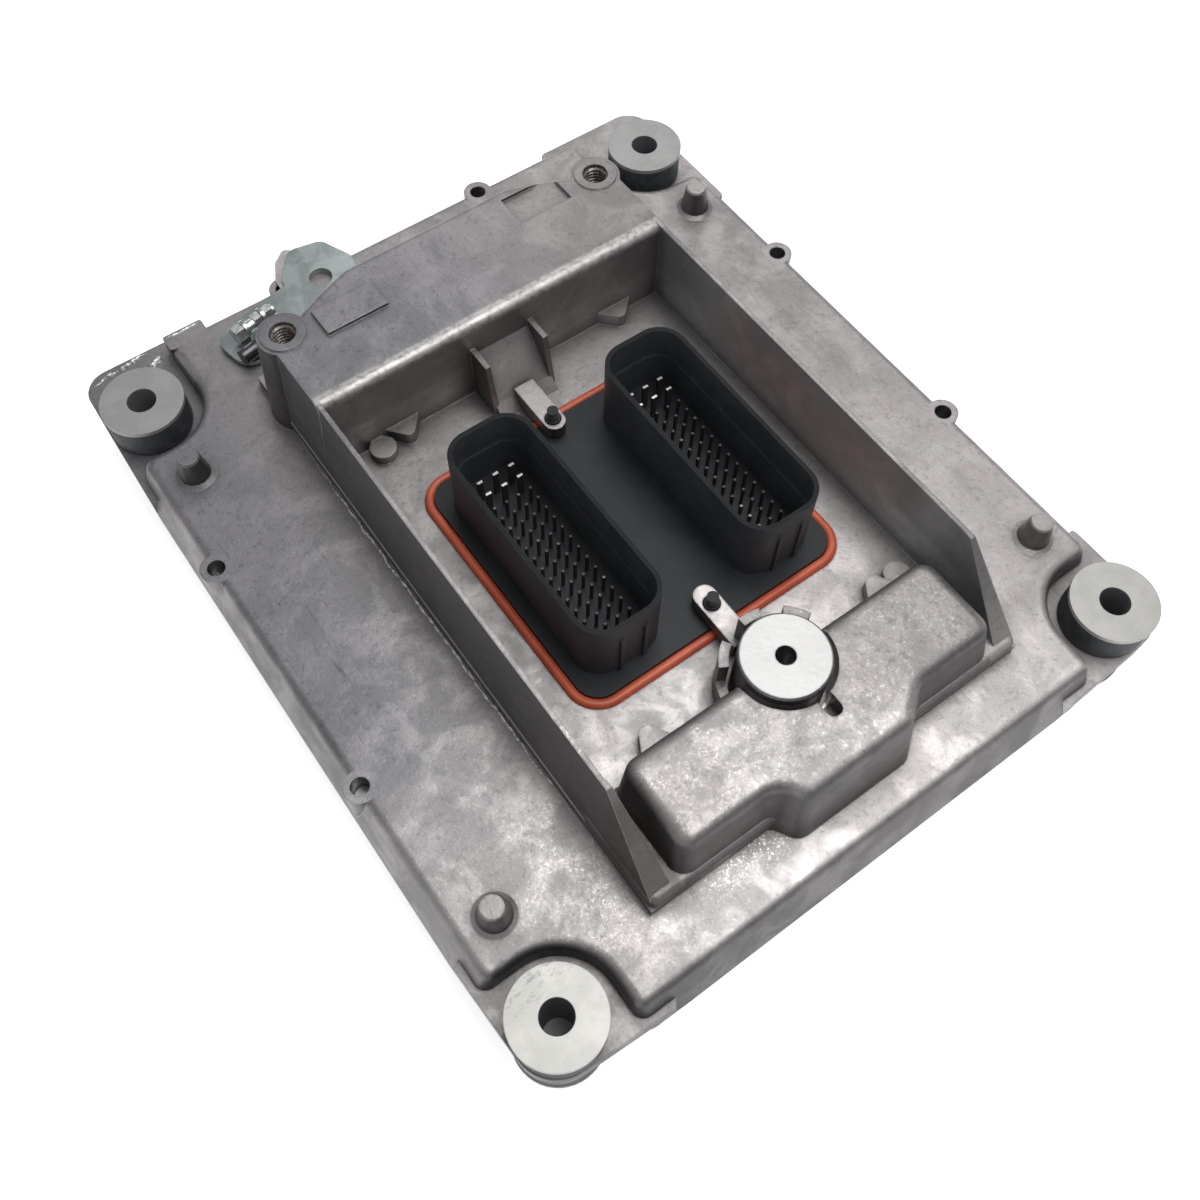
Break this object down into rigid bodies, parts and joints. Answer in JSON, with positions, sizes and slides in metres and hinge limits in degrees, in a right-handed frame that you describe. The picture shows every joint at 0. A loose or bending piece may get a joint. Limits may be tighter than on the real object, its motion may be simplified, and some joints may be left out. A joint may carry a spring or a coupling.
{
  "type": "engine control unit",
  "caption": "Die-cast engine control unit with a recessed connector well, a two-socket header, round rubber isolators at its corners and a flat base cover.",
  "frame": {"origin": "centre of the four isolator bores on the seating plane, the underside of the lower washers", "axes": "+Z out of the connector sockets, +X along the short side, +Y along the long side from the low block to the high block"},
  "size_m": [0.2303, 0.2777, 0.0632],
  "materials": {
    "cast_aluminium": "as-cast, satin, mottled",
    "cover_metal": "plain satin plate",
    "gasket": "matt",
    "steel_screws": "zinc plated",
    "header_plastic": "moulded black",
    "seal_rubber": "silicone, orange-red",
    "signal_contact": "dark tinned",
    "power_contact": "bright tinned",
    "board": "green solder mask",
    "chip_package": "moulded black",
    "crystal_can": "bright can",
    "thermal_pad": "soft pad",
    "capacitor_can": "sleeved can",
    "ferrite": "dark ferrite",
    "isolator_rubber": "charcoal, matt",
    "isolator_steel": "grey-green matt plating",
    "zinc_plate": "zinc plated, grey-green",
    "dark_pin": "black, slightly glossy"
  },
  "bodies": {
    "root": {"housing": "cast_aluminium", "base_cover": "cover_metal", "cover_gasket": "gasket", "cover_screws": "steel_screws", "connector_header": "header_plastic", "header_seal": "seal_rubber", "signal_pins": "signal_contact", "power_pins": "power_contact", "circuit_board": "board", "board_screws": "steel_screws", "processor": "chip_package", "memory_chip": "chip_package", "crystal": "crystal_can", "power_transistors": "chip_package", "thermal_pads": "thermal_pad", "large_capacitors": "capacitor_can", "small_capacitors": "capacitor_can", "inductor": "ferrite", "isolator_washers": "isolator_steel", "side_bracket": "zinc_plate", "bracket_backing": "zinc_plate", "bracket_screw": "zinc_plate", "bracket_nuts": "zinc_plate", "bracket_stop_pin": "dark_pin", "isolator_rubber_front_left": "isolator_rubber", "isolator_sleeve_front_left": "isolator_steel", "isolator_rubber_front_right": "isolator_rubber", "isolator_sleeve_front_right": "isolator_steel", "isolator_rubber_rear_left": "isolator_rubber", "isolator_sleeve_rear_left": "isolator_steel", "isolator_rubber_rear_right": "isolator_rubber", "isolator_sleeve_rear_right": "isolator_steel"}
  },
  "joints": []
}
